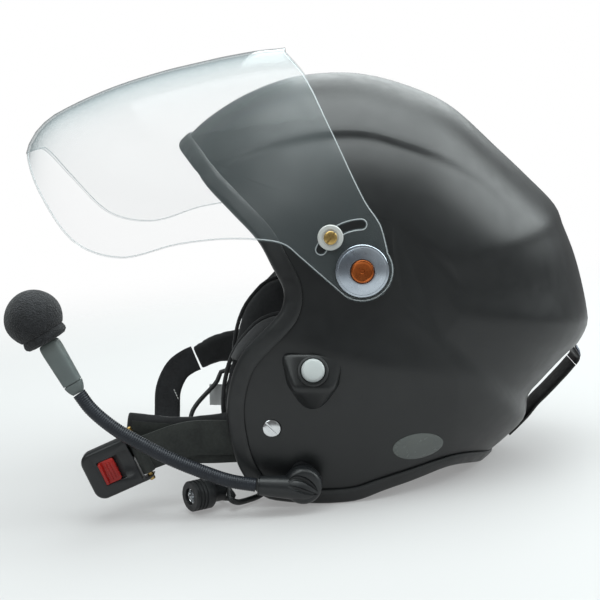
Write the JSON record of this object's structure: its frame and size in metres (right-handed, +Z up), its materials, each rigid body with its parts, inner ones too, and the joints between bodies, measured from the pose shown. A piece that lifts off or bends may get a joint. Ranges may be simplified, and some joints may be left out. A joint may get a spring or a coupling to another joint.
{
  "type": "paramotor helmet",
  "caption": "Open-face flying helmet with a tilting clear visor, swivelling boom microphone, push-to-talk button, ear cups and an open buckled chin strap.",
  "frame": {"origin": "on the ground the helmet stands on, under the centre of its box without the loose leads", "axes": "+Z up; -Y is where the face looks; +X is the wearer's left"},
  "size_m": [0.2596, 0.3908, 0.2998],
  "materials": {
    "shell_paint": "satin",
    "trim_rubber": "satin",
    "liner_foam": "matt",
    "lining_cloth": "matt",
    "black_plastic": "satin",
    "white_nylon": "satin",
    "pivot_disc": "turned",
    "bronze": "anodised",
    "dark_steel": "satin",
    "brass": "polished",
    "chrome": "polished",
    "black_rubber": "matt",
    "webbing": "woven",
    "label_cloth": "matt",
    "clear_visor": "polished",
    "capsule_plastic": "satin",
    "mic_foam": "matt",
    "grey_plastic": "satin",
    "strap_cloth": "matt",
    "red_plastic": "glossy"
  },
  "bodies": {
    "helmet": {"shell": "shell_paint", "edge_trim": "trim_rubber", "impact_liner": "liner_foam", "crown_lining": "lining_cloth", "nape_pad": "lining_cloth", "cheek_pad_left": "lining_cloth", "cheek_pad_right": "lining_cloth", "ear_cup_left": "black_plastic", "ear_cup_right": "black_plastic", "ear_seal_left": "lining_cloth", "ear_seal_right": "lining_cloth", "speaker_left": "black_plastic", "speaker_right": "black_plastic", "pivot_spacer_left": "white_nylon", "pivot_spacer_right": "white_nylon", "visor_disc_left": "pivot_disc", "visor_disc_right": "pivot_disc", "pivot_screw_left": "bronze", "pivot_screw_right": "bronze", "pivot_nut_left": "dark_steel", "pivot_nut_right": "dark_steel", "stop_washer_left": "white_nylon", "stop_washer_right": "white_nylon", "stop_screw_left": "brass", "stop_screw_right": "brass", "strap_screw_left": "chrome", "strap_screw_right": "chrome", "strap_bush_left": "white_nylon", "strap_bush_right": "white_nylon", "button_ring": "black_rubber", "switch_body": "black_plastic", "boom_foot": "black_plastic", "goggle_strap_tab": "webbing", "goggle_strap_rivet": "black_plastic", "snap_stud": "dark_steel", "care_label": "label_cloth", "lead_grommet_left": "black_rubber", "lead_grommet_right": "black_rubber", "lead_left": "black_rubber", "lead_right": "black_rubber", "jack_socket": "black_rubber", "socket_sleeve": "chrome"},
    "visor": {"visor": "clear_visor"},
    "boom": {"boom_arm": "black_plastic", "gooseneck": "dark_steel", "mic_capsule": "capsule_plastic", "mic_foam": "mic_foam"},
    "button": {"talk_button": "grey_plastic"},
    "left_strap": {"left_strap": "strap_cloth", "left_strap_pad": "lining_cloth"},
    "buckle": {"buckle_housing": "black_plastic", "buckle_pin": "brass"},
    "release": {"buckle_release": "red_plastic"},
    "right_strap": {"right_strap_pad": "lining_cloth", "right_strap": "webbing"},
    "tongue": {"strap_tongue": "chrome"},
    "goggle_retainer": {"goggle_strap": "webbing", "snap_cap": "black_plastic"}
  },
  "joints": [
    {"name": "visor_lift", "type": "hinge", "parent": "helmet", "child": "visor", "pos_m": [-0.00368, 0.03533, 0.15781], "axis": [1, 0, 0], "range_deg": [-19, 36]},
    {"name": "boom_swivel", "type": "hinge", "parent": "helmet", "child": "boom", "pos_m": [0.10632, -0.01169, 0.01863], "axis": [1, 0, 0], "range_deg": [-8, 8]},
    {"name": "talk_button_press", "type": "slide", "parent": "helmet", "child": "button", "axis": [-0.9063, -0.0302, -0.4215], "range_m": [0, 0.0015], "stiffness_N_per_m": 1200, "springref_m": -0.0004},
    {"name": "left_strap_swing", "type": "hinge", "parent": "helmet", "child": "left_strap", "pos_m": [0.09432, -0.02947, 0.05657], "axis": [1, 0, 0], "range_deg": [0, 9]},
    {"name": "buckle_tilt", "type": "hinge", "parent": "left_strap", "child": "buckle", "pos_m": [0.08906, -0.11804, 0.03995], "axis": [0, -0.3502, 0.9367], "range_deg": [-8, 20]},
    {"name": "buckle_release_slide", "type": "slide", "parent": "buckle", "child": "release", "axis": [0, 0.9367, 0.3502], "range_m": [0, 0.003], "stiffness_N_per_m": 800, "springref_m": -0.0005},
    {"name": "right_strap_swing", "type": "hinge", "parent": "helmet", "child": "right_strap", "pos_m": [-0.10168, -0.02947, 0.05657], "axis": [1, 0, 0], "range_deg": [0, 5]},
    {"name": "tongue_tilt", "type": "hinge", "parent": "right_strap", "child": "tongue", "pos_m": [-0.06982, -0.1199, 0.00343], "axis": [0, 0.9974, -0.0715], "range_deg": [-35, 15]},
    {"name": "goggle_strap_open", "type": "hinge", "parent": "helmet", "child": "goggle_retainer", "pos_m": [-0.00368, 0.18754, 0.06157], "axis": [1, 0, 0], "range_deg": [0, 70]}
  ]
}
